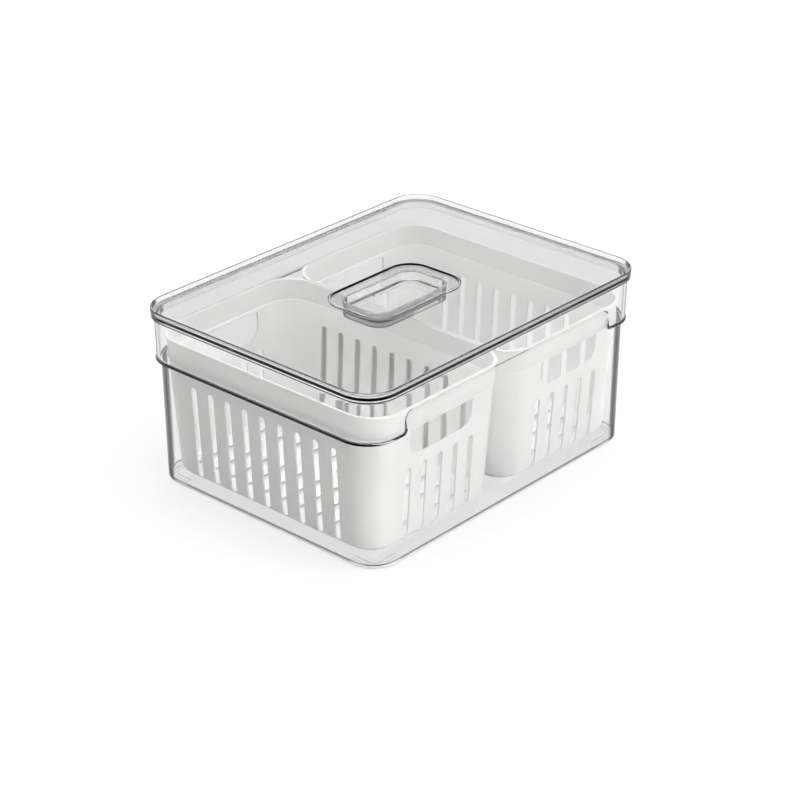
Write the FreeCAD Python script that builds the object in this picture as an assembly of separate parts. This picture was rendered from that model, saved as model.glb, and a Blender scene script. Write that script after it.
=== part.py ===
import FreeCAD, Part
import math
import os

# A clear lidded fridge bin with two slotted drain baskets that hang inside it.
# Millimetres. X runs along the long side, Y along the short side and Z is up.
# The origin is under the middle of the bin, on the plane that its feet stand on.

# Bin: its rim is the size that the rest follows
rim_length = 316.4
rim_width = 238.1
rim_corner = 26.4
bin_height = 141.9
bin_wall = 2.2
bin_floor = 2.5
base_rounding = 2.8
inner_rounding = 2.0

# Collar round the top of the bin, wider than the body below it
collar_foot = 104.0
collar_draft = 0.8
end_step = 4.2
side_step = 1.1
end_draft = 2.2
side_draft = 0.5
body_corner_loss = 1.2
lip_reach = 0.9
lip_height = 2.4

# The collar rises in the middle of the long sides
raised_foot = 120.1
raised_length = 235.0
raised_upper_bend = 7.0
raised_lower_bend = 5.0

# Feet moulded under the corners of the base
foot_height = 0.5
foot_width = 3.2
foot_inset = 8.2
foot_bend = 8.0
foot_reach_x = 24.0
foot_reach_y = 21.0

# Lid: a shallow tray whose rim stands past the collar and reaches down round it as a thin skirt
lid_overhang = 1.8
lid_corner = 26.2
lid_panel = 1.8
lid_rim_rise = 3.9
lid_rim_wall = 1.9
lid_draft = 0.5
lid_rim_rounding = 0.8
lid_skirt_depth = 2.3
lid_skirt_clearance = 0.2
lid_ring_depth = 5.4
lid_ring_wall = 1.8
lid_ring_clearance = 0.6

# Grip: a separate cup pushed into a hole in the middle of the lid
mouth_length = 102.0
mouth_width = 63.0
mouth_corner = 18.8
mouth_depth = 2.4
mouth_seat = 1.0
mouth_wall = 1.5
grip_flange = 0.8
cup_length = 85.0
cup_width = 46.4
cup_corner = 13.4
cup_depth = 14.9
cup_wall = 2.0
cup_recess = 9.2
cup_floor = 2.0
cup_clearance = 0.25
window_length = 27.0
window_height = 2.6
window_lift = 1.0

# Baskets: they hang by their rims on the ledge inside the long sides
basket_gap = 1.0
basket_length = 148.4
basket_flange = 0.8
basket_flange_side = 0.4
basket_flange_clearance = 0.4
basket_side_clearance = 1.0
basket_corner = 25.0
basket_floor_gap = 5.5
basket_wall = 1.4
basket_band_wall = 1.3
basket_floor = 2.0
basket_band_height = 17.9
basket_step_rise = 1.2
basket_end_step = 0.6
basket_side_step = 1.3
basket_end_draft = 5.0
basket_side_draft = 6.0
basket_corner_loss = 2.0
basket_rounding = 4.5

# Drain slots, all of one width
slot_width = 6.0
long_slot_count = 9
long_slot_pitch = 18.2
slot_foot_lift = 3.0
long_slot_height = 78.5
short_slot_count = 5
short_slot_pitch = 17.4
short_slot_height = 60.0
floor_slot_rows = 11
floor_slot_length = 44.0
floor_slot_spread = 60.0

# Hand hole in each short wall of a basket
hand_length = 68.5
hand_height = 22.8
hand_drop = 1.5
hand_corner = 12.0

# How far a cutting solid runs past the face that it cuts
past = 1.0
least_radius = 0.4


class Outline:
    """A rectangle with round corners, centred on the Z axis."""

    def __init__(self, length, width, corner):
        self.length = length
        self.width = width
        self.corner = max(corner, least_radius)

    def inset(self, along, across=None, corner=None):
        across = along if across is None else across
        corner = min(along, across) if corner is None else corner
        return Outline(self.length - 2 * along, self.width - 2 * across, self.corner - corner)

    def wire(self, z):
        hx = self.length / 2
        hy = self.width / 2
        r = self.corner
        d = r * (1 - math.sqrt(0.5))

        def at(x, y):
            return FreeCAD.Vector(x, y, z)

        edges = [
            Part.makeLine(at(r - hx, -hy), at(hx - r, -hy)),
            Part.Arc(at(hx - r, -hy), at(hx - d, d - hy), at(hx, r - hy)).toShape(),
            Part.makeLine(at(hx, r - hy), at(hx, hy - r)),
            Part.Arc(at(hx, hy - r), at(hx - d, hy - d), at(hx - r, hy)).toShape(),
            Part.makeLine(at(hx - r, hy), at(r - hx, hy)),
            Part.Arc(at(r - hx, hy), at(d - hx, hy - d), at(-hx, hy - r)).toShape(),
            Part.makeLine(at(-hx, hy - r), at(-hx, r - hy)),
            Part.Arc(at(-hx, r - hy), at(d - hx, d - hy), at(r - hx, -hy)).toShape(),
        ]
        return Part.Wire(edges)


def block(*sections):
    """A solid through outlines at their heights, given as (outline, z) pairs."""
    return Part.makeLoft([outline.wire(z) for outline, z in sections], True, True)


def edges_at(shape, z):
    """The edges of a shape that lie flat at height z."""
    near = 1e-4
    return [e for e in shape.Edges
            if abs(e.BoundBox.ZMin - z) < near and abs(e.BoundBox.ZMax - z) < near]


def rounded_at(shape, radius, z):
    return shape.makeFillet(radius, edges_at(shape, z))


# Outlines that more than one piece is built from
rim_outline = Outline(rim_length, rim_width, rim_corner)
collar_outline = rim_outline.inset(collar_draft)
neck_outline = collar_outline.inset(end_step, side_step, side_step)
base_outline = neck_outline.inset(end_draft, side_draft, body_corner_loss)
ledge_height = raised_foot + bin_wall


def collar_inside_at(z):
    """The outline of the collar's inner face at height z."""
    fall = (bin_height - z) / (bin_height - collar_foot)
    return rim_outline.inset(collar_draft * fall + bin_wall)


def raised_window(half, top, foot, upper, lower):
    """The space under the raised middle of the collar, right through both long sides."""
    reach = rim_width
    low = foot - past - lip_height
    lean = math.sqrt(0.5)

    def at(x, z):
        return FreeCAD.Vector(x, -reach, z)

    def right_side(sign):
        return [
            at(sign * (half + lower), low),
            at(sign * (half + lower), foot),
            at(sign * (half + lower * (1 - lean)), foot + lower * (1 - lean)),
            at(sign * half, foot + lower),
            at(sign * half, top - upper),
            at(sign * (half - upper * (1 - lean)), top - upper * (1 - lean)),
            at(sign * (half - upper), top),
        ]

    edges = []
    for sign in (-1, 1):
        p = right_side(sign)
        edges.append(Part.makeLine(p[0], p[1]))
        edges.append(Part.Arc(p[1], p[2], p[3]).toShape())
        edges.append(Part.makeLine(p[3], p[4]))
        edges.append(Part.Arc(p[4], p[5], p[6]).toShape())
    left, right = right_side(-1), right_side(1)
    edges.append(Part.makeLine(left[6], right[6]))
    edges.append(Part.makeLine(right[0], left[0]))
    face = Part.Face(Part.Wire(Part.__sortEdges__(edges)))
    return face.extrude(FreeCAD.Vector(0, 2 * reach, 0))


def bin_outside():
    body_top = raised_foot + past
    body = block((base_outline, 0), (neck_outline, collar_foot), (neck_outline, body_top))
    body = rounded_at(body, base_rounding, 0)
    collar = block((collar_outline, collar_foot), (rim_outline, bin_height))
    lip = block((collar_outline.inset(-lip_reach / 2), collar_foot),
                (collar_outline.inset(-lip_reach), collar_foot + lip_height / 3),
                (collar_outline, collar_foot + lip_height))
    half = raised_length / 2
    window = raised_window(half, raised_foot, collar_foot, raised_upper_bend, raised_lower_bend)
    return body.fuse(collar.fuse(lip).cut(window))


def bin_cavity():
    lower_top = ledge_height + past
    lower = block((base_outline.inset(bin_wall), bin_floor),
                  (neck_outline.inset(bin_wall), collar_foot),
                  (neck_outline.inset(bin_wall), lower_top))
    lower = rounded_at(lower, inner_rounding, bin_floor)
    foot = collar_foot + bin_wall
    upper = block((collar_inside_at(foot), foot), (collar_inside_at(bin_height + past), bin_height + past))
    half = raised_length / 2 + bin_wall
    lower_bend = max(raised_lower_bend - bin_wall, least_radius)
    window = raised_window(half, ledge_height, foot, raised_upper_bend + bin_wall, lower_bend)
    return lower.fuse(upper.cut(window))


def corner_feet():
    """Four low L-shaped feet, cut out of one ring under the base."""
    centre = base_outline.inset(foot_inset)
    line = Outline(centre.length, centre.width, foot_bend)
    sunk = foot_height + bin_floor / 2
    outer = block((line.inset(-foot_width / 2), -foot_height), (line.inset(-foot_width / 2), sunk - foot_height))
    inner = block((line.inset(foot_width / 2), -foot_height - past), (line.inset(foot_width / 2), sunk))
    ring = outer.cut(inner)
    feet = []
    for side in (-1, 1):
        for end in (-1, 1):
            box = Part.makeBox(foot_reach_x + foot_width, foot_reach_y + foot_width, sunk)
            x = line.length / 2 - foot_reach_x if end > 0 else -line.length / 2 - foot_width
            y = line.width / 2 - foot_reach_y if side > 0 else -line.width / 2 - foot_width
            box.translate(FreeCAD.Vector(x, y, -foot_height))
            feet.append(ring.common(box))
    return feet


def bin_body():
    solid = bin_outside()
    for foot in corner_feet():
        solid = solid.fuse(foot)
    return solid.cut(bin_cavity())


# Lid
lid_outline = rim_outline.inset(-lid_overhang, corner=rim_corner - lid_corner)
lid_foot = bin_height - lid_skirt_depth
panel_top = bin_height + lid_panel
lid_top = panel_top + lid_rim_rise
mouth_outline = Outline(mouth_length, mouth_width, mouth_corner)
cup_outline = Outline(cup_length, cup_width, cup_corner)


def lid_cover():
    tray = block((lid_outline.inset(lid_draft), lid_foot), (lid_outline, lid_top))
    inside = lid_outline.inset(lid_rim_wall)
    tray = tray.cut(block((inside, panel_top), (inside, lid_top + past)))
    tray = rounded_at(tray, min(lid_rim_rounding, lid_rim_wall * 0.45), lid_top)
    under = rim_outline.inset(-lid_skirt_clearance)
    tray = tray.cut(block((under, lid_foot - past), (under, bin_height)))
    ring_outline = collar_inside_at(bin_height).inset(lid_ring_clearance)
    ring_foot = bin_height - lid_ring_depth
    ring = block((ring_outline.inset(lid_draft / 2), ring_foot), (ring_outline, bin_height + lid_panel / 2))
    within = ring_outline.inset(lid_ring_wall + lid_draft / 2)
    ring = ring.cut(block((within, ring_foot - past), (within, panel_top)))
    seat_foot = panel_top - mouth_depth - mouth_seat
    boss_outline = mouth_outline.inset(-mouth_wall)
    boss = block((boss_outline, min(seat_foot, bin_height)), (boss_outline, panel_top))
    mouth = block((mouth_outline, panel_top - mouth_depth), (mouth_outline, panel_top + past))
    hole_outline = cup_outline.inset(-cup_clearance)
    hole = block((hole_outline, seat_foot - past), (hole_outline, panel_top + past))
    return tray.fuse(ring).fuse(boss).cut(mouth).cut(hole)


def grip_window(side):
    """A slot low in one long wall of the cup, to one side of its middle."""
    foot = panel_top - cup_depth + window_lift
    reach = cup_width
    box = Part.makeBox(window_length, reach, window_height)
    x = 0 if side < 0 else -window_length
    y = 0 if side > 0 else -reach
    box.translate(FreeCAD.Vector(x, y, foot))
    return box


def lid_grip():
    flange_outline = mouth_outline.inset(cup_clearance)
    flange_foot = panel_top - mouth_depth
    flange = block((flange_outline, flange_foot), (flange_outline, flange_foot + grip_flange))
    cup_foot = panel_top - cup_depth
    cup = block((cup_outline, cup_foot), (cup_outline, flange_foot + grip_flange / 2))
    inside = cup_outline.inset(cup_wall)
    recess_floor = panel_top - cup_recess
    recess = block((inside, recess_floor), (inside, panel_top + past))
    recess = rounded_at(recess, min(cup_wall, cup_floor), recess_floor)
    under = block((inside, cup_foot - past), (inside, recess_floor - cup_floor))
    grip = flange.fuse(cup).cut(recess).cut(under)
    for side in (-1, 1):
        grip = grip.cut(grip_window(side))
    return grip


# Baskets
flange_top = ledge_height + basket_flange
flange_width = collar_inside_at(ledge_height).width - 2 * basket_flange_clearance
band_width = neck_outline.width - 2 * (bin_wall + basket_side_clearance)
flange_outline = Outline(basket_length, flange_width, basket_corner)
band_outline = Outline(basket_length - 2 * basket_flange_side, band_width, basket_corner - basket_flange_side)
wall_outline = band_outline.inset(basket_end_step, basket_side_step)
foot_outline = wall_outline.inset(basket_end_draft, basket_side_draft, basket_corner_loss)
band_foot = ledge_height - basket_band_height
basket_foot = bin_floor + basket_floor_gap
basket_centre = (basket_length + basket_gap) / 2


def upright_slot(width, height, thickness):
    """A slot with round ends that stands on z=0 and runs through along Y."""
    r = width / 2

    def at(x, z):
        return FreeCAD.Vector(x, -thickness / 2, z)

    edges = [
        Part.makeLine(at(-r, r), at(-r, height - r)),
        Part.Arc(at(-r, height - r), at(0, height), at(r, height - r)).toShape(),
        Part.makeLine(at(r, height - r), at(r, r)),
        Part.Arc(at(r, r), at(0, 0), at(-r, r)).toShape(),
    ]
    return Part.Face(Part.Wire(edges)).extrude(FreeCAD.Vector(0, thickness, 0))


def hand_hole(thickness):
    """The hand hole's shape: square at the top, round at the lower corners."""
    hx = hand_length / 2
    r = min(hand_corner, hand_height - least_radius)
    d = r * (1 - math.sqrt(0.5))
    top = band_foot - hand_drop
    low = top - hand_height

    def at(x, z):
        return FreeCAD.Vector(x, -thickness / 2, z)

    edges = [
        Part.makeLine(at(-hx, top), at(hx, top)),
        Part.makeLine(at(hx, top), at(hx, low + r)),
        Part.Arc(at(hx, low + r), at(hx - d, low + d), at(hx - r, low)).toShape(),
        Part.makeLine(at(hx - r, low), at(r - hx, low)),
        Part.Arc(at(r - hx, low), at(d - hx, low + d), at(-hx, low + r)).toShape(),
        Part.makeLine(at(-hx, low + r), at(-hx, top)),
    ]
    return Part.Face(Part.Wire(edges)).extrude(FreeCAD.Vector(0, thickness, 0))


def spread(count, pitch):
    """Places of a row of things about zero."""
    return [(i - (count - 1) / 2) * pitch for i in range(count)]


def drain_slots():
    """Every slot and both hand holes of one basket, as cutting solids."""
    foot = basket_foot + slot_foot_lift
    across = basket_length + 2 * past
    along = flange_width + 2 * past
    cutters = [hand_hole(along)]
    for x in spread(short_slot_count, short_slot_pitch):
        slot = upright_slot(slot_width, short_slot_height, along)
        slot.translate(FreeCAD.Vector(x, 0, foot))
        cutters.append(slot)
    for y in spread(long_slot_count, long_slot_pitch):
        slot = upright_slot(slot_width, long_slot_height, across)
        slot.rotate(FreeCAD.Vector(0, 0, 0), FreeCAD.Vector(0, 0, 1), 90)
        slot.translate(FreeCAD.Vector(0, y, foot))
        cutters.append(slot)
    for y in spread(floor_slot_rows, long_slot_pitch):
        for x in spread(2, floor_slot_spread):
            slot = upright_slot(slot_width, floor_slot_length, basket_floor + 2 * past)
            slot.rotate(FreeCAD.Vector(0, 0, 0), FreeCAD.Vector(1, 0, 0), 90)
            slot.rotate(FreeCAD.Vector(0, 0, 0), FreeCAD.Vector(0, 0, 1), 90)
            middle = slot.BoundBox.Center
            slot.translate(FreeCAD.Vector(x, y, basket_foot + basket_floor / 2) - middle)
            cutters.append(slot)
    return cutters


def basket(sign):
    outside = block((foot_outline, basket_foot), (wall_outline, band_foot),
                    (band_outline, band_foot + basket_step_rise), (band_outline, flange_top))
    outside = rounded_at(outside, basket_rounding, basket_foot)
    flange = block((flange_outline, ledge_height), (flange_outline, flange_top))
    wall = wall_outline.inset(basket_wall)
    band = band_outline.inset(basket_band_wall)
    ledge = band_foot + basket_step_rise
    inside = block((foot_outline.inset(basket_wall), basket_foot + basket_floor), (wall, ledge))
    inside = rounded_at(inside, max(basket_rounding - basket_wall, least_radius), basket_foot + basket_floor)
    mouth = block((band, ledge), (band, flange_top + past))
    solid = outside.fuse(flange).cut(inside.fuse(mouth))
    solid = solid.cut(Part.makeCompound(drain_slots()))
    solid.translate(FreeCAD.Vector(sign * basket_centre, 0, 0))
    return solid


def write(node, shape):
    """Stand the piece on its feet and write its one solid."""
    shape = shape.removeSplitter()
    shape.translate(FreeCAD.Vector(0, 0, foot_height))
    solids = shape.Solids
    print(node, "solids", len(solids), "valid", shape.isValid(), "volume", round(shape.Volume / 1000, 2), "cm3")
    solids[0].exportStep("parts/" + node + ".step")


os.makedirs("parts", exist_ok=True)
write("bin_body", bin_body())
write("lid_cover", lid_cover())
write("lid_grip", lid_grip())
write("basket_left", basket(-1))
write("basket_right", basket(1))
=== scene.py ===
import bmesh
import bpy
import math
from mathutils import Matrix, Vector


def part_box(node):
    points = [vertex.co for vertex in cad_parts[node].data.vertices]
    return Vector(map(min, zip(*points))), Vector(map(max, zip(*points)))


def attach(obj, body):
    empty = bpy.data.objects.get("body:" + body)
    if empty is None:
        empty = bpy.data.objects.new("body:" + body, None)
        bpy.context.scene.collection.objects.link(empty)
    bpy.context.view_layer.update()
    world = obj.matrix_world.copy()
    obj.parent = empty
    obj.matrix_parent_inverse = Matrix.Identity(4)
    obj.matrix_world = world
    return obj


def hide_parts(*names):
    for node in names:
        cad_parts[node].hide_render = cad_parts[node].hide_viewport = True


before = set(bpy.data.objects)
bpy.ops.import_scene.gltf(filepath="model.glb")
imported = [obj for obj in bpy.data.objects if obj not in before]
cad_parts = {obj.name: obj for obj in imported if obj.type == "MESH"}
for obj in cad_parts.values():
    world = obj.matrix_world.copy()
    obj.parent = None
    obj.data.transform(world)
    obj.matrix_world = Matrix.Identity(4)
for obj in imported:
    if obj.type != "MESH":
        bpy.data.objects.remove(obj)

mm = 0.001
leastCorner = 0.3              # millimetres, as every size below
creaseAngle = math.radians(38)
weldDistance = 1e-6            # metres
sameLine = 0.01                # how near a point counts as on a straight side
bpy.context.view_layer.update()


def boxOf(node):
    # lowest and highest corner of a solid, in millimetres
    low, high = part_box(node)
    return [c / mm for c in low], [c / mm for c in high]


# Outlines: a rounded rectangle is (half length, half width, corner radius)

def grown(outline, along, across=None, corner=None):
    across = along if across is None else across
    corner = min(along, across) if corner is None else corner
    return outline[0] + along, outline[1] + across, max(outline[2] + corner, leastCorner)


def between(a, b, t):
    return tuple(p + (q - p) * t for p, q in zip(a, b))


def evenly(count):
    # places along a straight stretch, worked out again for each ring's own length
    return lambda half: [half * (2 * (i + 1) / (count + 1) - 1) for i in range(count)]


def fixedAt(places):
    return lambda half: places


def ringPoints(outline, z, alongX, alongY, cornerSteps):
    # one loop of points round an outline, always in the same order, so that rings can be joined
    hx, hy, r = outline
    xs = alongX(hx - r)
    ys = alongY(hy - r)
    corners = (
        (1, -1, -90, [(hx, y) for y in ys]),
        (1, 1, 0, [(x, hy) for x in reversed(xs)]),
        (-1, 1, 90, [(-hx, y) for y in reversed(ys)]),
        (-1, -1, 180, [(x, -hy) for x in xs]),
    )
    points = []
    for sx, sy, start, straight in corners:
        for i in range(cornerSteps + 1):
            turn = math.radians(start + 90 * i / cornerSteps)
            points.append((sx * (hx - r) + r * math.cos(turn), sy * (hy - r) + r * math.sin(turn), z))
        points.extend((x, y, z) for x, y in straight)
    return points


def bend(start, end, centre, steps):
    # quarter turn from start to end, as (inset, height) pairs
    pairs = []
    for i in range(steps + 1):
        t = math.radians(90 * i / steps)
        a = centre[0] + (start[0] - centre[0]) * math.cos(t) + (end[0] - centre[0]) * math.sin(t)
        b = centre[1] + (start[1] - centre[1]) * math.cos(t) + (end[1] - centre[1]) * math.sin(t)
        pairs.append((a, b))
    return pairs


def meshOfRings(name, rings, closed, paintedMarks=None, thin=None):
    # rings of equal length joined by quads; an open stack gets a flat face at each end
    # marks, one for each ring or a list for its points, paint shading on the clear plastic: painted shade (to
    # 1) makes it look darker and painted light (to -1) milkier than elsewhere; thin says where its painted
    #    dark edges are narrower
    mesh = bpy.data.meshes.new(name)
    count = len(rings[0])
    points = [Vector(p) * mm for ring in rings for p in ring]
    faces = []
    for r in range(len(rings) if closed else len(rings) - 1):
        a = r * count
        b = (r + 1) % len(rings) * count
        for i in range(count):
            j = (i + 1) % count
            faces.append((a + i, a + j, b + j, b + i))
    if not closed:
        faces.append(tuple(reversed(range(count))))
        faces.append(tuple(range(len(points) - count, len(points))))
    mesh.from_pydata(points, [], faces)
    for key, values in (("paintedShading", paintedMarks), ("thin", thin)):
        if values:
            each = [v for value in values for v in (value if isinstance(value, list) else [value] * count)]
            mesh.attributes.new(key, "FLOAT", "POINT").data.foreach_set("value", each)
    finishMesh(mesh)
    piece = bpy.data.objects.new(name, mesh)
    bpy.context.scene.collection.objects.link(piece)
    return piece


def finishMesh(mesh):
    work = bmesh.new()
    work.from_mesh(mesh)
    bmesh.ops.remove_doubles(work, verts=work.verts, dist=weldDistance)
    bmesh.ops.dissolve_degenerate(work, dist=weldDistance, edges=work.edges)
    bmesh.ops.recalc_face_normals(work, faces=work.faces)
    work.to_mesh(mesh)
    work.free()
    mesh.shade_smooth()
    mesh.set_sharp_from_angle(angle=creaseAngle)
    mesh.update()


def applyModifiers(piece):
    bpy.context.view_layer.update()
    graph = bpy.context.evaluated_depsgraph_get()
    made = bpy.data.meshes.new_from_object(piece.evaluated_get(graph))
    old = piece.data
    piece.modifiers.clear()
    piece.data = made
    made.name = piece.name
    bpy.data.meshes.remove(old)


def smoothStep(t):
    t = min(max(t, 0.0), 1.0)
    return t * t * (3 - 2 * t)


def levels(*stops):
    # heights from stop to stop, each stretch at its own spacing: first, spacing, next, spacing, next ...
    heights = [stops[0]]
    for spacing, stop in zip(stops[1::2], stops[2::2]):
        start = heights[-1]
        count = max(1, round(abs(stop - start) / spacing))
        heights.extend(start + (stop - start) * (i + 1) / count for i in range(count))
    return heights


# Bin: sizes that the frame doesn't give. Heights are above the base's underside, which the feet hold up
binHigh = boxOf("bin_body")[1]
shell = {
    "footHeight": 0.5,
    "wall": 2.2,
    "floor": 2.5,
    "rimCorner": 26.4,
    "rimHalf": (158.2, 119.05),
    "baseRounding": 2.8,
    "innerRounding": 2.0,
    "rimRounding": 0.7,
    "collarFoot": 104.0,       # underside of the collar above the base
    "collarDraft": 0.8,
    "step": (4.2, 1.1),        # how far the collar stands past the body, at the ends and sides
    "draft": (2.2, 0.5),
    "cornerLoss": 1.2,
    "lipReach": 0.9,
    "lipHeight": 2.4,
    "lipShape": 0.6,           # below 1 its widest place is low
    "lipFade": 6.0,            # height over which it runs out beside the raised middle
    "raisedFoot": 120.1,       # underside of the raised middle of the collar
    "raisedHalf": 117.5,
    "upperBend": 7.0,
    "lowerBend": 5.0,
    "outerTurn": 0.7,          # height over which the shell turns into the collar, outside and inside
    "innerTurn": (3.2, 0.7),   # inside it is soft at the collar's foot and crisp where the baskets rest
    "footInset": 8.2,
    "footWidth": 3.2,
    "footSlope": 0.2,          # outside the foot's edge, where it meets the base
    "footBend": 8.0,
    "footReach": (24.0, 21.0),
    "footGap": 0.02,           # both keep the mesh inside the solid's box
    "topGap": 0.03,
    "cornerSteps": 14,
    # up the base's outer face, painted shading: a dark line at the foot, painted light where the floor's edge
    # collects light, and a faint painted dark line above
    "basePaintedShading": ((0.05, 0.6), (0.6, 0.3), (0.9, -0.75), (3.0, -0.75), (3.3, 0.25), (4.2, 0.25), (4.5, 0.0)),
    # painted light on the rim's top and on the feet's edges; above the collar's lip the painted dark edges
    # are narrower
    "rimPaintedLight": -0.5,
    "footPaintedShading": -0.4,
    "collarThin": 1.0,
    # painted shade: a dark line low on the collar, at its ends
    "lipPaintedShade": ((0.6, 0.0), (1.0, 0.5), (2.4, 0.5), (2.9, 0.0)),  # above the collar's foot, at the ends
    "endDepth": 4.0,           # how far behind the neck's end a place still counts as at the end
}
shell["height"] = binHigh[2] - shell["footHeight"]
# spacing of the mesh: wide on plain wall, close where a line is drawn or the wall turns
pitch = {"plain": 24.0, "middle": 19.0, "side": 20.0, "collar": 5.0, "near": 1.0, "close": 0.5, "paintedShading": 0.3,
         "shelf": 0.2, "ledge": 0.15, "lip": 0.14}
# how far past each height the close spacing goes
span = {"base": 4.6, "belowFoot": 1.0, "aboveFoot": 1.4, "belowLedge": 0.2, "aboveLedge": 1.0,
        "belowShelf": 3.4, "aboveShelf": 1.2}
# where the columns stand: from the middle, but besideFoot and footEdge are from the foot's end
reach = {"middle": 95.0, "side": 70.0, "besideFoot": 14.0, "pastRaised": 126.0, "footEdge": 0.3}


def pastWindow(a, z, half, top, foot, upper, lower):
    # how far the point (a, z) on a long side stands inside the collar, less than 0 in the window below it
    if a > half + lower:
        return z - foot
    if z < foot + lower:
        return lower - math.hypot(half + lower - a, foot + lower - z)
    if a > half - upper and z > top - upper:
        return math.hypot(a - half + upper, z - top + upper) - upper
    if a > half - upper:
        return a - half
    return z - top


def binRing(z, bodyOutline, collarOutline, edge, lift, lip, turn):
    # the shell at one height: body below the edge of the collar, collar above it
    alongX = fixedAt(binColumns)
    alongY = fixedAt(binSideColumns)
    steps = shell["cornerSteps"]
    body = ringPoints(bodyOutline, z, alongX, alongY, steps)
    collar = ringPoints(collarOutline, z, alongX, alongY, steps)
    lipRing = ringPoints(grown(collarOutline, shell["lipReach"]), z, alongX, alongY, steps)
    points = []
    for inner, plain, bulged in zip(body, collar, lipRing):
        onLongSide = abs(inner[1]) > bodyOutline[1] - sameLine
        past = pastWindow(abs(inner[0]), z, *edge) if onLongSide else z - edge[2]
        t = smoothStep(past / turn + (turn - shell["outerTurn"]) / turn)
        bulge = 0.0
        if lip and 0 < past < shell["lipHeight"]:
            bulge = math.sin(math.pi * (past / shell["lipHeight"]) ** shell["lipShape"])
            bulge *= 1 - smoothStep((z - edge[2] - shell["lipHeight"]) / shell["lipFade"])
        outer = [a + (b - a) * bulge for a, b in zip(plain, bulged)]
        points.append(tuple(a + (b - a) * t for a, b in zip(inner, outer))[:2] + (z + lift,))
    return points


rimOutline = (*shell["rimHalf"], shell["rimCorner"])
collarOutline = grown(rimOutline, -shell["collarDraft"])
neckOutline = grown(collarOutline, -shell["step"][0], -shell["step"][1], -shell["step"][1])
baseOutline = grown(neckOutline, -shell["draft"][0], -shell["draft"][1], -shell["cornerLoss"])
ledgeHeight = shell["raisedFoot"] + shell["wall"]


def paintedShadingAt(paintedMarks, z):
    # the mark at one height, straight between the stated ones
    for (low, a), (high, b) in zip(paintedMarks, paintedMarks[1:]):
        if low <= z <= high:
            return a + (b - a) * (z - low) / (high - low)
    return 0.0


def bodyAt(z):
    return between(baseOutline, neckOutline, min(z / shell["collarFoot"], 1.0))


def collarAt(z):
    foot = shell["collarFoot"]
    return between(collarOutline, rimOutline, (z - foot) / (shell["height"] - foot))


footEnd = (baseOutline[0] - shell["footInset"] - shell["footReach"][0],
           baseOutline[1] - shell["footInset"] - shell["footReach"][1])
# columns of the bin's mesh: close together where the collar's edge rises, and at the feet's ends
outerX = levels(footEnd[0] - reach["besideFoot"], pitch["close"], reach["pastRaised"])
middleX = levels(-reach["middle"], pitch["middle"], reach["middle"])
outerY = [footEnd[1] - reach["footEdge"], footEnd[1] + reach["footEdge"]]
middleY = levels(-reach["side"], pitch["side"], reach["side"])
binColumns = [-x for x in reversed(outerX)] + middleX + outerX
binSideColumns = [-y for y in reversed(outerY)] + middleY + outerY


def atFoot(x, y):
    return abs(x) > footEnd[0] and abs(y) > footEnd[1]


def underRing(outline, isFoot):
    # a ring of the base's underside, which drops where a foot is
    points = ringPoints(outline, 0.0, fixedAt(binColumns), fixedAt(binSideColumns), shell["cornerSteps"])
    base = shell["footHeight"]
    drop = base - shell["footGap"]
    return [(x, y, base - drop * (isFoot and atFoot(x, y))) for x, y, z in points]


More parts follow.
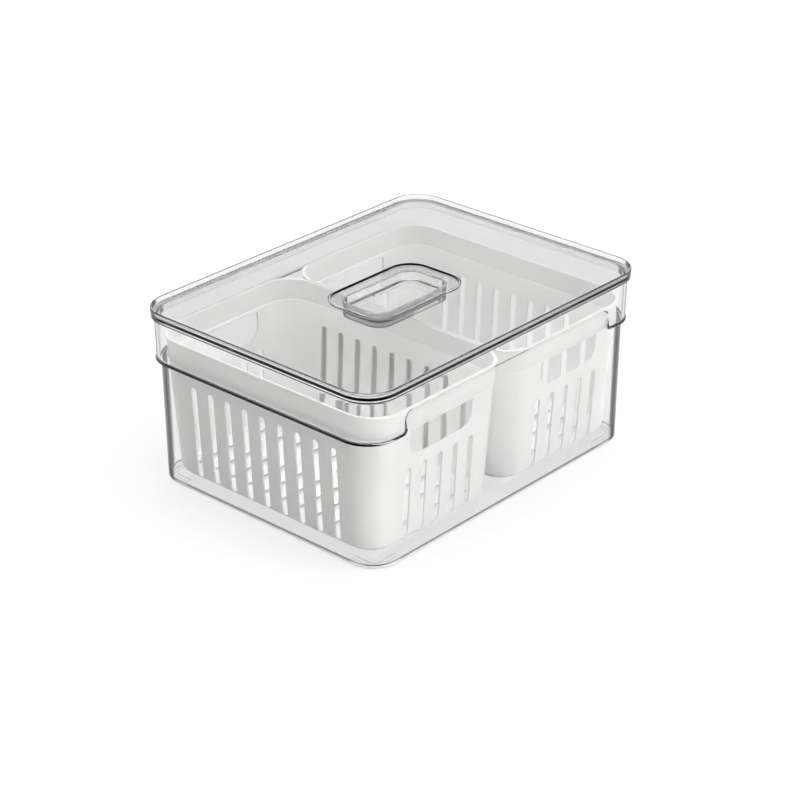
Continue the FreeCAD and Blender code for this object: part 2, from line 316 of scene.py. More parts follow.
def makeBin():
    lift = shell["footHeight"]
    wall = shell["wall"]
    foot = shell["collarFoot"]
    raised = shell["raisedFoot"]
    outerEdge = (shell["raisedHalf"], raised, foot, shell["upperBend"], shell["lowerBend"])
    innerEdge = (shell["raisedHalf"] + wall, ledgeHeight, foot + wall,
                 shell["upperBend"] + wall, shell["lowerBend"] - wall)
    rings = []
    paintedMarks = []

    def add(z, body, collar, paintedShading=0.0, edge=outerEdge, lip=False, turn=shell["outerTurn"]):
        rings.append(binRing(z, body, collar, edge, lift, lip, turn))
        paintedMarks.append(paintedShading)

    # underside, with its feet, from the middle out
    side = shell["footWidth"] / 2
    within, slope, plain, middle = 0.4, shell["footSlope"], 0.6, 6.0  # distances from the foot's edge
    # (place across the foot, whether it is on the foot, whether it is on the foot's edge)
    for across, isFoot, isEdge in ((side + middle, False, False), (side + plain, False, False),
                                   (side + slope, False, True), (side, True, True),
                                   (side - within, True, False), (within - side, True, False),
                                   (-side, True, True), (-side - slope, False, True),
                                   (-side - plain, False, False)):
        inset = shell["footInset"] + across
        outline = (baseOutline[0] - inset, baseOutline[1] - inset, shell["footBend"] - across)
        rings.append(underRing(outline, isFoot))
        paintedMarks.append([shell["footPaintedShading"] * (isEdge and atFoot(x, y)) for x, y, z in rings[-1]])
    # up the outer face
    r = shell["baseRounding"]
    for inset, z in bend((r, 0), (0, r), (r, r), steps=7):
        add(z, grown(bodyAt(z), -inset), collarAt(z), paintedShadingAt(shell["basePaintedShading"], z))
    for z in levels(r, pitch["paintedShading"], span["base"], pitch["plain"], foot - span["belowFoot"], pitch["near"],
                    foot, pitch["lip"], foot + span["aboveFoot"], pitch["close"],
                    raised - span["belowLedge"], pitch["ledge"], raised + span["aboveLedge"], pitch["collar"],
                    shell["height"] - shell["rimRounding"])[1:]:
        add(z, bodyAt(z), collarAt(z), lip=True)
        # painted shade low on the collar at its ends, else the base's painted shading
        paintedShading = paintedShadingAt(shell["lipPaintedShade"], z - foot)
        ends = [paintedShading * (abs(x) > neckOutline[0] - shell["endDepth"]) for x, y, height in rings[-1]]
        paintedMarks[-1] = ends if paintedShading else paintedShadingAt(shell["basePaintedShading"], z)
    # over the rim
    r = shell["rimRounding"]
    top = shell["height"] - shell["topGap"]
    rim = bend((0, top - r), (r, top), (r, top - r), steps=4)[1:]
    rim += bend((wall - r, top), (wall, top - r), (wall - r, top - r), steps=4)
    for inset, z in rim:
        add(z, bodyAt(z), grown(collarAt(z), -inset), shell["rimPaintedLight"] * (top - z < r / 2))
    # down the inside
    r = shell["innerRounding"]
    bottom = shell["floor"]
    shelf = foot + wall
    soft, crisp = shell["innerTurn"]
    softUpTo, crispFrom = shelf + 4.0, ledgeHeight - 2.0
    for z in levels(top - shell["rimRounding"], pitch["collar"],
                    ledgeHeight + span["aboveLedge"], pitch["ledge"],
                    ledgeHeight - span["belowLedge"], pitch["close"],
                    shelf + span["aboveShelf"], pitch["shelf"], shelf - span["belowShelf"], pitch["plain"],
                    bottom + r)[1:]:
        turn = soft + (crisp - soft) * smoothStep((z - softUpTo) / (crispFrom - softUpTo))
        add(z, grown(bodyAt(z), -wall), grown(collarAt(z), -wall), edge=innerEdge, turn=turn)
    for inset, z in bend((0, bottom + r), (r, bottom), (r, bottom + r), steps=6)[1:]:
        add(z, grown(bodyAt(z), -wall - inset), collarAt(z), edge=innerEdge)
    above = foot + shell["lipHeight"] + lift
    thin = [shell["collarThin"] * (ring[0][2] > above) for ring in rings]
    return meshOfRings("binShell", rings, False, paintedMarks, thin)


# Lid: a thin tray with a skirt round the bin's rim, a ring under it and a seat for the grip
lid = {
    "overhang": 1.8,
    "corner": 26.2,
    "panel": 1.8,
    "rimRise": 3.9,
    "rimWall": 1.9,
    "draft": 0.5,
    "rimRounding": (1.0, 0.5),  # outer and inner edge of the rim's top
    "topInset": 0.05,          # where the drafted outer face meets that rounding
    "rootRounding": 0.6,       # where the rim rises from the panel
    "skirtDepth": 2.3,
    "skirtClearance": 0.2,
    "skirtRounding": 0.3,
    "ringDepth": 5.4,
    "ringWall": 1.8,
    "ringClearance": 0.6,
    "mouth": (51.0, 31.5, 18.8),
    "mouthDepth": 2.4,
    "seat": 1.0,
    "mouthWall": 1.5,
    "cup": (42.5, 23.2, 13.4),
    "clearance": 0.25,
    "bevels": {"mouth": 0.1, "hole": 0.15, "skirt": 0.2, "face": 0.3, "root": 0.4},
    # rings on flat faces, which keep their shading flat
    "flatRings": {"rim": 1.2, "tray": 6.0, "mouth": 4.0, "under": 6.0},
    "cornerSteps": 18,
    # painted shading for what the eye meets up the rim's outer face: the skirt's dark foot, then the bin's
    # light rim, then the panel, which leads the light away inside it and so looks black
    "outerPaintedShading": ((0.3, 0.9), (1.05, 0.9), (1.2, -0.2), (2.1, -0.2), (2.3, 1.0), (4.3, 1.0), (4.5, 0.0)),
    "mouthPaintedShade": 1.0,          # the far side of the step round the grip looks black for the same reason
}
lidOutline = (rimOutline[0] + lid["overhang"], rimOutline[1] + lid["overhang"], lid["corner"])
panelFoot = binHigh[2]
panelTop = panelFoot + lid["panel"]
lidTop = panelTop + lid["rimRise"]


def lidProfile():
    # (outline, height) pairs, with painted shading where some is painted: over the rim, across the tray,
    # through the hole and back underneath
    def atInset(inset, z):
        return grown(lidOutline, -inset), z

    bevel = lid["bevels"]
    flat = lid["flatRings"]
    draft = lid["draft"]
    foot = panelFoot - lid["skirtDepth"]
    r = lid["skirtRounding"]
    turn = bend((draft + r, foot), (draft, foot + r), (draft + r, foot + r), steps=4)
    profile = [(*atInset(*place), lid["outerPaintedShading"][0][1]) for place in turn]
    r, inner = lid["rimRounding"]
    wall = lid["rimWall"]
    for rise, paintedShading in lid["outerPaintedShading"]:
        profile += [(*atInset(draft * (1 - rise / (lidTop - foot)), foot + rise), paintedShading)]
    turn = bend((lid["topInset"], lidTop - r), (r, lidTop), (r, lidTop - r), steps=7)
    turn += bend((wall - inner, lidTop), (wall, lidTop - inner), (wall - inner, lidTop - inner), steps=4)
    r = lid["rootRounding"]
    turn += [(wall, panelTop + r + flat["rim"])]
    turn += bend((wall, panelTop + r), (wall + r, panelTop), (wall + r, panelTop + r), steps=5)
    turn += [(wall + r + flat["tray"], panelTop)]
    profile += [atInset(*place) for place in turn]
    mouth = lid["mouth"]
    seat = panelTop - lid["mouthDepth"]
    paintedShade = lid["mouthPaintedShade"]
    edge = bevel["mouth"]
    profile += [(grown(mouth, flat["mouth"]), panelTop), (grown(mouth, edge), panelTop)]
    profile += [(mouth, panelTop - edge, paintedShade), (mouth, seat, paintedShade), (grown(mouth, -edge), seat)]
    hole = grown(lid["cup"], lid["clearance"])
    under = seat - lid["seat"]
    edge = bevel["hole"]
    profile += [(grown(hole, edge), seat), (hole, seat - edge)]
    profile += [(hole, under + edge), (grown(hole, edge), under)]
    boss = grown(mouth, lid["mouthWall"])
    edge, root = bevel["face"], bevel["root"]
    profile += [(grown(boss, -edge), under), (boss, under + edge)]
    profile += [(boss, panelFoot - root), (grown(boss, root), panelFoot)]
    ring = grown(grown(rimOutline, -shell["wall"]), -lid["ringClearance"])
    within = grown(ring, -lid["ringWall"])
    low = panelFoot - lid["ringDepth"]
    lean = lid["draft"] / 2
    profile += [(grown(within, -flat["under"]), panelFoot)]
    profile += [(grown(within, -root), panelFoot), (within, panelFoot - root)]
    profile += [(grown(within, -lean), low + root), (grown(within, root - lean), low)]
    profile += [(grown(ring, -lean - root), low), (grown(ring, -lean), low + root)]
    profile += [(ring, panelFoot - edge), (grown(ring, edge), panelFoot)]
    bound = grown(rimOutline, lid["skirtClearance"])
    profile += [(grown(bound, -edge), panelFoot), (bound, panelFoot - edge)]
    profile += [(bound, foot + bevel["skirt"]), (grown(bound, bevel["skirt"]), foot)]
    return profile


def makeLid():
    along = evenly(6)
    profile = lidProfile()
    rings = [ringPoints(outline, z, along, along, lid["cornerSteps"]) for outline, z, *paintedShading in profile]
    return meshOfRings("lidCover", rings, True, [sum(paintedShading) for outline, z, *paintedShading in profile])


# Grip: a cup that hangs in the lid's hole by a thin flange, which lies in the sunk seat
grip = {
    "flange": 0.8,
    "depth": 14.9,
    "wall": 2.0,
    "recess": 9.2,
    "floor": 2.0,
    "rounding": 2.0,
    "window": (27.0, 2.6),     # length from the middle and height, low in each long wall
    "windowLift": 1.0,
    "windowReach": 2.0,        # of its cutter, past the wall
    "seatGap": 0.02,
    "bevels": {"flange": 0.1, "neck": 0.3, "top": 0.5, "under": 0.5},
    # rings on flat faces, which keep their shading flat
    "flatRings": {"floor": 0.2, "middle": 8.0, "flange": (0.2, 0.8)},
    "cornerSteps": 12,
    # painted shading on the grip: painted light where faces catch the light, painted shade down the outer
    # wall, darkest at its foot
    "floorPaintedLight": -0.16,        # the recess's floor and the cup's top catch the light
    "topPaintedLight": -0.1,
    "wallPaintedShade": (0.15, 0.5),  # the wall's foot looks dark, as the eye looks down along the wall
    "wallPaintedShadeRise": 1.6,       # above the foot
    "footPaintedShading": 0.8,
    "footPaintedShadingRises": (0.9, 0.3),
}


def gripProfile():
    # from the middle of the recess's floor up its wall, over the flange and down the outside
    bevel = grip["bevels"]
    flat = grip["flatRings"]
    flange = grown(lid["mouth"], -lid["clearance"])
    cup = lid["cup"]
    inside = grown(cup, -grip["wall"])
    seat = panelTop - lid["mouthDepth"] + grip["seatGap"]
    top = seat + grip["flange"]
    foot = panelTop - grip["depth"]
    r = grip["rounding"]
    floorTop = panelTop - grip["recess"]
    paintedLight = grip["floorPaintedLight"]
    profile = [(grown(inside, -r - flat[key]), floorTop, paintedLight) for key in ("middle", "floor")]
    turn = bend((r, floorTop), (0, floorTop + r), (r, floorTop + r), steps=6)
    profile += [(grown(inside, -i), z) for i, z in turn]
    paintedLight = grip["topPaintedLight"]
    edge = bevel["top"]
    turn = bend((0, top - edge), (edge, top), (edge, top - edge), steps=3)
    profile += [(grown(inside, i), z, paintedLight) for i, z in turn]
    near, far = flat["flange"]
    edge = bevel["flange"]
    profile += [(grown(cup, near), top, paintedLight), (grown(cup, far), top)]
    profile += [(grown(flange, -edge), top), (flange, top - edge), (flange, seat)]
    edge = bevel["neck"]
    profile += [(grown(cup, edge), seat)]
    heights = (seat - edge, foot + grip["wallPaintedShadeRise"])
    profile += [(cup, z, paintedShading) for z, paintedShading in zip(heights, grip["wallPaintedShade"])]
    profile += [(cup, foot + rise, grip["footPaintedShading"]) for rise in grip["footPaintedShadingRises"]]
    under = floorTop - grip["floor"]
    profile += [(grown(cup, -edge), foot), (grown(inside, edge), foot), (inside, foot + edge)]
    edge = bevel["under"]
    profile += [(inside, under - edge), (grown(inside, -edge), under)]
    profile += [(grown(inside, -flat["middle"]), under)]
    return profile


def makeGrip():
    along = evenly(4)
    profile = gripProfile()
    rings = [ringPoints(outline, z, along, along, grip["cornerSteps"]) for outline, z, *paintedShading in profile]
    piece = meshOfRings("lidGrip", rings, False, [sum(paintedShading) for outline, z, *paintedShading in profile])
    length, height = grip["window"]
    foot = panelTop - grip["depth"] + grip["windowLift"]
    far = lid["cup"][1] + grip["windowReach"]
    for side in (-1, 1):
        # each window stands to one side of the middle
        low = (min(0, -side * length), min(0, side * far), foot)
        high = (max(0, -side * length), max(0, side * far), foot + height)
        cutWith(piece, [blockCutter("gripWindow", low, high)])
    finishMesh(piece.data)
    return piece


def blockCutter(name, low, high):
    corners = [(x, y, z) for z in (low[2], high[2]) for x, y in
               ((low[0], low[1]), (high[0], low[1]), (high[0], high[1]), (low[0], high[1]))]
    return prismCutter(name, corners[:4], corners[4:])


def prismCutter(name, near, far):
    # a closed solid between two like outlines
    mesh = bpy.data.meshes.new(name)
    count = len(near)
    faces = [tuple(reversed(range(count))), tuple(range(count, 2 * count))]
    faces += [(i, (i + 1) % count, (i + 1) % count + count, i + count) for i in range(count)]
    mesh.from_pydata([Vector(p) * mm for p in [*near, *far]], [], faces)
    work = bmesh.new()
    work.from_mesh(mesh)
    bmesh.ops.recalc_face_normals(work, faces=work.faces)
    work.to_mesh(mesh)
    work.free()
    cutter = bpy.data.objects.new(name, mesh)
    bpy.context.scene.collection.objects.link(cutter)
    return cutter


def cutWith(piece, cutters):
    for cutter in cutters:
        cut = piece.modifiers.new("cut", "BOOLEAN")
        cut.operation = "DIFFERENCE"
        cut.solver = "EXACT"
        cut.object = cutter
    applyModifiers(piece)
    for cutter in cutters:
        mesh = cutter.data
        bpy.data.objects.remove(cutter)
        bpy.data.meshes.remove(mesh)


# Baskets: thin white mouldings that hang by their rims on the ledge inside the bin
basket = {
    "flange": 0.8,
    "flangeReach": 0.4,
    "sideClearance": 1.0,
    "corner": 25.0,
    "wall": 1.4,
    "bandWall": 1.3,
    "floor": 2.0,
    "bandHeight": 17.9,
    "stepRise": 1.2,
    "endStep": 0.6,
    "sideStep": 1.3,
    "draft": (5.0, 6.0),
    "cornerLoss": 2.0,
    "rounding": 4.5,
    "slotWidth": 6.0,
    "slotLift": 3.0,
    "longSlots": (9, 18.2, 78.5),    # count, pitch and height
    "shortSlots": (5, 17.4, 60.0),
    "floorSlots": (11, 44.0, 60.0),  # rows, length and spread
    "handLength": 68.5,
    "handHeight": 22.8,
    "handDrop": 1.5,
    "handCorner": 12.0,
    "stepMiddle": (0.55, 0.3),       # share of the step's reach and of its rise, for its soft S
    "bevels": {"band": (0.1, 0.3), "under": (0.15, 0.25), "rim": 0.35, "ledge": 0.25},
    "middleRing": 3.0,               # on the floor, inside its rounding
    "wallPitch": 30.0,
    "cutterReach": 3.0,              # past the walls
    "floorCut": (2.0, 1.0),          # past the floor, below and above it
    "cornerSteps": 14,
}


def spread(count, apart):
    return [(i - (count - 1) / 2) * apart for i in range(count)]


def basketOutlines(node):
    low, high = boxOf(node)
    flange = ((high[0] - low[0]) / 2, (high[1] - low[1]) / 2, basket["corner"])
    bandWidth = neckOutline[1] - shell["wall"] - basket["sideClearance"]
    band = (flange[0] - basket["flangeReach"], bandWidth, basket["corner"] - basket["flangeReach"])
    wall = grown(band, -basket["endStep"], -basket["sideStep"])
    foot = grown(wall, -basket["draft"][0], -basket["draft"][1], -basket["cornerLoss"])
    return flange, band, wall, foot


def basketProfile(node):
    low, high = boxOf(node)
    flange, band, wall, foot = basketOutlines(node)
    top = high[2]
    under = top - basket["flange"]
    bandFoot = under - basket["bandHeight"]
    bottom = low[2]
    r = basket["rounding"]

    def wallAt(z, inset=0.0):
        return grown(between(foot, wall, (z - bottom) / (bandFoot - bottom)), -inset)

    bevel = basket["bevels"]
    profile = [(wallAt(bottom, r + basket["middleRing"]), bottom)]
    profile += [(wallAt(z, i), z) for i, z in bend((r, bottom), (0, bottom + r), (r, bottom + r), steps=6)]
    profile += [(wallAt(z), z) for z in levels(bottom + r, basket["wallPitch"], bandFoot)[1:]]
    rise = basket["stepRise"]
    reach, height = basket["stepMiddle"]
    profile += [(between(wall, band, reach), bandFoot + rise * height), (band, bandFoot + rise)]
    out, down = bevel["band"]
    profile += [(band, under - down), (grown(band, out), under)]
    out, rises = bevel["under"]
    edge = bevel["rim"]
    profile += [(grown(flange, -out), under), (flange, under + rises)]
    profile += [(flange, top - edge), (grown(flange, -edge), top)]
    inner = grown(band, -basket["bandWall"])
    turn = bend((edge, top), (0, top - edge), (edge, top - edge), steps=3)
    profile += [(grown(inner, i), z) for i, z in turn]
    ledge = bandFoot + rise
    edge = bevel["ledge"]
    profile += [(inner, ledge + edge), (grown(inner, -edge), ledge)]
    thick = basket["wall"]
    innerWall = grown(wall, -thick)
    profile += [(grown(innerWall, edge), ledge), (wallAt(ledge - edge, thick), ledge - edge)]
    floorTop = bottom + basket["floor"]
    r = basket["rounding"] - thick
    heights = levels(floorTop + r, basket["wallPitch"], ledge - edge)[:-1]
    profile += [(wallAt(z, thick), z) for z in reversed(heights)]
    turn = bend((0, floorTop + r), (r, floorTop), (r, floorTop + r), steps=5)[1:]
    profile += [(wallAt(z, thick + i), z) for i, z in turn]
    profile += [(wallAt(floorTop, thick + r + basket["middleRing"]), floorTop)]
    return profile


def arc(centre, radius, start, steps, sweep=180):
    # points along part of a circle, from start degrees on
    turns = [math.radians(start + sweep * i / steps) for i in range(steps + 1)]
    return [(centre[0] + radius * math.cos(t), centre[1] + radius * math.sin(t)) for t in turns]


def slotOutline(width, height):
    # an upright slot with round ends, foot at 0
    r = width / 2
    return arc((0, r), r, 180, 8) + arc((0, height - r), r, 0, 8)


def handOutline(low, top):
    # square at the top, round at the lower corners
    half = basket["handLength"] / 2
    r = basket["handCorner"]
    left = arc((r - half, low + r), r, 180, 8, sweep=90)
    right = arc((half - r, low + r), r, 270, 8, sweep=90)
    return [(half, top), (-half, top), *left, *right]


def basketCutters(node):
    low, high = boxOf(node)
    middle = (low[0] + high[0]) / 2
    bandFoot = high[2] - basket["flange"] - basket["bandHeight"]
    foot = low[2] + basket["slotLift"]
    past = basket["cutterReach"]
    end, side = (high[0] - low[0]) / 2 + past, (high[1] - low[1]) / 2 + past
    width = basket["slotWidth"]
    cutters = []

    def cut(near, far):
        cutters.append(prismCutter("cut", near, far))

    def cutAcross(x, shape):
        # through both long walls
        cut(*([(x + a, y, b) for a, b in shape] for y in (-side, side)))

    count, apart, height = basket["shortSlots"]
    for x in spread(count, apart):
        cutAcross(middle + x, [(a, b + foot) for a, b in slotOutline(width, height)])
    count, apart, height = basket["longSlots"]
    for y in spread(count, apart):
        shape = [(y + a, b + foot) for a, b in slotOutline(width, height)]
        cut(*([(x, a, b) for a, b in shape] for x in (middle - end, middle + end)))
    top = bandFoot - basket["handDrop"]
    cutAcross(middle, handOutline(top - basket["handHeight"], top))
    # the floor's rows stand at the long slots' places
    rows, length, columnsApart = basket["floorSlots"]
    below, above = basket["floorCut"]
    for y in spread(rows, apart):
        for x in spread(2, columnsApart):
            shape = [(middle + x + b - length / 2, y + a) for a, b in slotOutline(width, length)]
            cut(*([(a, b, z) for a, b in shape] for z in (low[2] - below, low[2] + basket["floor"] + above)))
    return cutters


def joined(parts, name):
    # several closed solids, clear of each other, as one cutter
    work = bmesh.new()
    for part in parts:
        work.from_mesh(part.data)
        mesh = part.data
        bpy.data.objects.remove(part)
        bpy.data.meshes.remove(mesh)
    mesh = bpy.data.meshes.new(name)
    work.to_mesh(mesh)
    work.free()
    piece = bpy.data.objects.new(name, mesh)
    bpy.context.scene.collection.objects.link(piece)
    return piece


def makeBasket(node, name):
    low, high = boxOf(node)
    middle = (low[0] + high[0]) / 2
    steps = basket["cornerSteps"]
    rings = [[(x + middle, y, z) for x, y, z in ringPoints(outline, z, evenly(1), evenly(1), steps)]
             for outline, z in basketProfile(node)]
    piece = meshOfRings(name, rings, False)
    cutWith(piece, [joined(basketCutters(node), "cut")])
    finishMesh(piece.data)
    return piece


# Materials

def linear(hexColour):
    values = [int(hexColour[i:i + 2], 16) / 255 for i in (0, 2, 4)]
    return [v / 12.92 if v <= 0.04045 else ((v + 0.055) / 1.055) ** 2.4 for v in values] + [1.0]


def newMaterial(name):
    material = bpy.data.materials.new(name)
    material.use_nodes = True
    material.node_tree.nodes.clear()
    return material


def addNode(tree, kind, links=(), **settings):
    # settings name a node's own property or an input; links are (input, node, output)
    node = tree.nodes.new(kind)
    for key, value in settings.items():
        if hasattr(node, key):
            setattr(node, key, value)
        else:
            node.inputs[key.replace("_", " ")].default_value = value
    for target, source, output in links:
        tree.links.new(source.outputs[output], node.inputs[target])
    return node


clear = {
    # painted shade on the upright walls, stronger the flatter the eye looks along them; its painted dark
    # lines vary along their length
    "edgeStart": 0.46,         # from here the upright walls darken, by how flat the eye looks along them
    "edgeEnd": 0.62,
    "edgeShadeDepth": 0.88,
    "thinShift": 0.22,         # both are this much later where the mesh says thin
    "uprightSlope": (0.12, 0.35),  # how far a wall's normal may rise, and where the darkening has gone
    "waveSize": 28.0,          # millimetres
    "waveHeight": 0.04,
    "breakSize": 34.0,         # the dark lines vary over about this length
    "breakRange": (0.32, 0.42),
    "breakLevels": (0.65, 1.0),
    "ior": 1.58,
    "binDensity": 24.0,        # absorbed per metre
    "lidDensity": 20.0,
}


def ramp(tree, source, output, start, end, low=0.0, high=1.0):
    step = addNode(tree, "ShaderNodeMapRange", [("Value", source, output)], interpolation_type="SMOOTHSTEP")
    for key, value in (("From Min", start), ("From Max", end), ("To Min", low), ("To Max", high)):
        step.inputs[key].default_value = value
    return step


def noise(tree, place, size, detail=2.0, roughness=0.5):
    # a pattern whose patches are about this many millimetres wide
    return addNode(tree, "ShaderNodeTexNoise", [("Vector", place, "Object")],
                   Scale=1 / (size * mm), Detail=detail, Roughness=roughness)


def bump(tree, pattern, height, below=None):
    links = [("Height", pattern, "Fac")]
    if below:
        links.append(("Normal", below, "Normal"))
    return addNode(tree, "ShaderNodeBump", links, Strength=1.0, Distance=height * mm)


def combine(tree, operation, first, second):
    # each side is a number or a (node, output) pair
    links = [(i, *side) for i, side in enumerate((first, second)) if isinstance(side, tuple)]
    node = addNode(tree, "ShaderNodeMath", links, operation=operation)
    for i, side in enumerate((first, second)):
        if not isinstance(side, tuple):
            node.inputs[i].default_value = side
    return node, "Value"


def clearPlastic(name, density):
    # clear styrene looks thick, polished and slightly wavy; painted shade darkens its upright walls where the
    # eye looks along them, standing in for the light that moulded edges lead away
    material = newMaterial(name)
    tree = material.node_tree
    place = addNode(tree, "ShaderNodeTexCoord")
    facing = addNode(tree, "ShaderNodeLayerWeight", Blend=0.5)
    thin = addNode(tree, "ShaderNodeAttribute", attribute_name="thin")
    later = combine(tree, "MULTIPLY", (thin, "Fac"), clear["thinShift"])
    grazing = combine(tree, "SUBTRACT", (facing, "Facing"), later)
    along = ramp(tree, *grazing, clear["edgeStart"], clear["edgeEnd"], 0.0, clear["edgeShadeDepth"])
    shape = addNode(tree, "ShaderNodeNewGeometry")
    parts = addNode(tree, "ShaderNodeSeparateXYZ", [("Vector", shape, "Normal")])
    slope = combine(tree, "ABSOLUTE", (parts, "Z"), 0.0)
    upright = ramp(tree, *slope, *clear["uprightSlope"], 1.0, 0.0)
    edge = combine(tree, "MULTIPLY", (along, "Result"), (upright, "Result"))
    # the rings' painted shade counts on faces that are met from outside, their painted light everywhere
    paintedShading = addNode(tree, "ShaderNodeAttribute", attribute_name="paintedShading")
    outside = combine(tree, "SUBTRACT", 1.0, (shape, "Backfacing"))
    patches = noise(tree, place, clear["breakSize"], detail=3.0, roughness=0.6)
    broken = ramp(tree, patches, "Fac", *clear["breakRange"], *clear["breakLevels"])
    paintedShade = combine(tree, "MULTIPLY", combine(tree, "MAXIMUM", (paintedShading, "Fac"), 0.0), (broken, "Result"))
    paintedShade = combine(tree, "MULTIPLY", paintedShade, outside)
    paintedLight = combine(tree, "MAXIMUM", combine(tree, "MULTIPLY", (paintedShading, "Fac"), -1.0), 0.0)
    # painted shade darkens the colour and its mirror tint; painted light makes the plastic less clear, so it
    # looks milky
    kept = combine(tree, "SUBTRACT", 1.0, combine(tree, "MAXIMUM", edge, paintedShade))
    paintedShadeTint = combine(tree, "MULTIPLY", kept, kept)
    through = combine(tree, "SUBTRACT", 1.0, paintedLight)
    wave = bump(tree, noise(tree, place, clear["waveSize"], detail=1.0), clear["waveHeight"])
    shader = addNode(tree, "ShaderNodeBsdfPrincipled",
                     [("Base Color", *paintedShadeTint), ("Specular Tint", *paintedShadeTint), ("Transmission Weight", *through),
                      ("Normal", wave, "Normal")], Roughness=0.0, IOR=clear["ior"])
    depth = addNode(tree, "ShaderNodeVolumeAbsorption", Color=(0.0, 0.0, 0.0, 1.0), Density=density)
    addNode(tree, "ShaderNodeOutputMaterial", [("Surface", shader, "BSDF"), ("Volume", depth, "Volume")])
    return material


white = {
    "colour": "f8f8f7",
    "mottle": "f0f0ef",
    "roughness": (0.34, 0.48),
    "ior": 1.49,
    "mottleSize": 14.0,        # millimetres
    "mottleRange": (0.3, 0.7),
    "grainSize": 0.5,          # the mould's real grain is finer; this is as coarse as it needs to show
    "grainHeight": 0.006,
    "waveSize": 32.0,
    "waveHeight": 0.06,
}


def whitePlastic():
    # moulded polypropylene: satin, faintly mottled, with the fine grain of the mould
    material = newMaterial("mouldedWhitePolypropylene")
    tree = material.node_tree
    place = addNode(tree, "ShaderNodeTexCoord")
    mottle = noise(tree, place, white["mottleSize"], detail=3.0)
    tone = addNode(tree, "ShaderNodeMixRGB", [("Fac", mottle, "Fac")],
                   Color1=linear(white["colour"]), Color2=linear(white["mottle"]))
    rough = ramp(tree, mottle, "Fac", *white["mottleRange"], *white["roughness"])
    wave = bump(tree, noise(tree, place, white["waveSize"]), white["waveHeight"])
    grain = bump(tree, noise(tree, place, white["grainSize"], detail=3.0), white["grainHeight"], wave)
    shader = addNode(tree, "ShaderNodeBsdfPrincipled",
                     [("Base Color", tone, "Color"), ("Roughness", rough, "Result"),
                      ("Normal", grain, "Normal")], IOR=white["ior"])
    addNode(tree, "ShaderNodeOutputMaterial", [("Surface", shader, "BSDF")])
    return material


def dress(piece, material, body, node):
    piece.data.materials.clear()
    piece.data.materials.append(material)
    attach(piece, body)
    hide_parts(node)


binPlastic = clearPlastic("mouldedClearStyrene", clear["binDensity"])
lidPlastic = clearPlastic("thinClearStyrene", clear["lidDensity"])
basketPlastic = whitePlastic()
dress(makeBin(), binPlastic, "bin", "bin_body")
print("bin made")
dress(makeLid(), lidPlastic, "lid", "lid_cover")
dress(makeGrip(), lidPlastic, "lid", "lid_grip")
print("lid made")
leftBasket = makeBasket("basket_left", "basketLeft")
rightBasket = makeBasket("basket_right", "basketRight")
dress(leftBasket, basketPlastic, "left_basket", "basket_left")
dress(rightBasket, basketPlastic, "right_basket", "basket_right")
print("baskets made")

# Floor, world and camera
studio = {
    "floorSize": 12.0,         # metres from the middle to each edge
    "floorColour": "f4f4f3",
    "glowShare": 0.65,         # of the floor's white, how much isn't touched by shadow
    "throughShare": 0.95,      # the same where it is seen through clear plastic
    "ambient": 0.5,
    "top": 1.8,
    "topSpread": (0.55, 1.0),  # cosines from the light's direction, where it starts and where it is full
    "side": 2.7,
    "sideSpread": (0.2, 0.9),
    "sideFrom": (0.6, -1.0, -0.4),
    "throughGain": 2.1,        # makes up for what the closed bin keeps back of the light
    "mirrored": 0.8,           # how bright clear plastic mirrors the white
    "high": 0.35,              # how bright the white surround is high up
    "highSpread": (0.1, 0.5),
}


def makeFloor():
    mesh = bpy.data.meshes.new("floor")
    edge = studio["floorSize"]
    corners = [(-edge, -edge, 0), (edge, -edge, 0), (edge, edge, 0), (-edge, edge, 0)]
    mesh.from_pydata(corners, [], [(0, 1, 2, 3)])
    floor = bpy.data.objects.new("floor", mesh)
    bpy.context.scene.collection.objects.link(floor)
    material = newMaterial("paperFloor")
    tree = material.node_tree
    paper = addNode(tree, "ShaderNodeBsdfDiffuse", Color=linear(studio["floorColour"]))
    seen, bright = seenDirectly(tree)
    glow = addNode(tree, "ShaderNodeEmission", [("Strength", *bright)], Color=(1, 1, 1, 1))
    path = addNode(tree, "ShaderNodeLightPath")
    most = ramp(tree, path, "Is Transmission Ray", 0.0, 1.0, studio["glowShare"], studio["throughShare"])
    share = combine(tree, "MULTIPLY", seen, (most, "Result"))
    mix = addNode(tree, "ShaderNodeMixShader", [(0, *share), (1, paper, "BSDF"), (2, glow, "Emission")])
    addNode(tree, "ShaderNodeOutputMaterial", [("Surface", mix, "Shader")])
    mesh.materials.append(material)


def seenDirectly(tree):
    # first 1 for what the camera sees as it is, mirrored in clear plastic or through it, then its brightness
    path = addNode(tree, "ShaderNodeLightPath")
    sharp = combine(tree, "MAXIMUM", (path, "Is Camera Ray"), (path, "Is Transmission Ray"))
    sharp = combine(tree, "MAXIMUM", sharp, (path, "Is Glossy Ray"))
    fresh = combine(tree, "LESS_THAN", (path, "Diffuse Depth"), 0.5)
    bright = ramp(tree, path, "Is Reflection Ray", 0.0, 1.0, 1.0, studio["mirrored"])
    return combine(tree, "MULTIPLY", sharp, fresh), (bright, "Result")


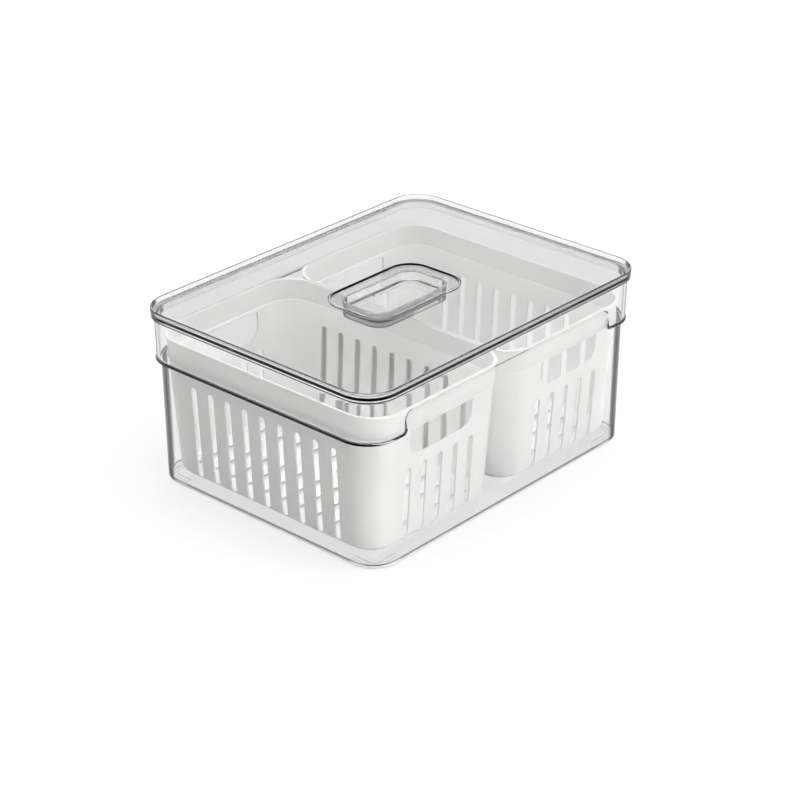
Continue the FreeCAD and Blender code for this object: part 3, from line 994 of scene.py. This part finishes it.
def makeWorld():
    world = bpy.data.worlds.new("studio")
    bpy.context.scene.world = world
    world.use_nodes = True
    tree = world.node_tree
    tree.nodes.clear()
    place = addNode(tree, "ShaderNodeTexCoord")

    def lobe(direction, start, end, low, high):
        # brightness that changes with the angle towards one direction
        facing = addNode(tree, "ShaderNodeVectorMath", [(0, place, "Generated")], operation="DOT_PRODUCT")
        facing.inputs[1].default_value = Vector(direction).normalized()
        return ramp(tree, facing, "Value", start, end, low, high)

    up = (0, 0, 1)
    top = lobe(up, *studio["topSpread"], 0.0, studio["top"])
    side = lobe(studio["sideFrom"], *studio["sideSpread"], 0.0, studio["side"])
    total = combine(tree, "ADD", combine(tree, "ADD", (top, "Result"), (side, "Result")), studio["ambient"])
    # light that reaches the baskets through clear plastic is stronger, as the plastic keeps much of it back
    path = addNode(tree, "ShaderNodeLightPath")
    gain = ramp(tree, path, "Is Transmission Ray", 0.0, 1.0, 1.0, studio["throughGain"])
    light = combine(tree, "MULTIPLY", total, (gain, "Result"))
    boxes = addNode(tree, "ShaderNodeBackground", [("Strength", *light)], Color=(1, 1, 1, 1))
    # the white surround, which is darker high up, where the ceiling is
    surround = lobe(up, *studio["highSpread"], 1.0, studio["high"])
    seen, bright = seenDirectly(tree)
    strength = combine(tree, "MULTIPLY", (surround, "Result"), bright)
    back = addNode(tree, "ShaderNodeBackground", [("Strength", *strength)], Color=(1, 1, 1, 1))
    mix = addNode(tree, "ShaderNodeMixShader",
                  [(0, *seen), (1, boxes, "Background"), (2, back, "Background")])
    addNode(tree, "ShaderNodeOutputWorld", [("Surface", mix, "Shader")])


camera = {
    "sensor": 36,
    "focalLength": 2357.2,               # pixels of a picture that is pictureWidth wide
    "pictureWidth": 800,
    "place": (-1238.1, -1113.4, 888.7),  # millimetres
    "back": (-0.6652, -0.5954, 0.4505),  # away from what it looks at
    "clip": (0.05, 60),                  # metres
}


def makeCamera():
    data = bpy.data.cameras.new("camera")
    data.sensor_width = camera["sensor"]
    data.lens = camera["focalLength"] * camera["sensor"] / camera["pictureWidth"]
    data.clip_start, data.clip_end = camera["clip"]
    eye = bpy.data.objects.new("camera", data)
    bpy.context.scene.collection.objects.link(eye)
    eye.location = Vector(camera["place"]) * mm
    eye.rotation_euler = Vector(camera["back"]).normalized().to_track_quat("Z", "Y").to_euler()
    bpy.context.scene.camera = eye


makeFloor()
makeWorld()
makeCamera()
bpy.context.scene.view_settings.view_transform = "Standard"
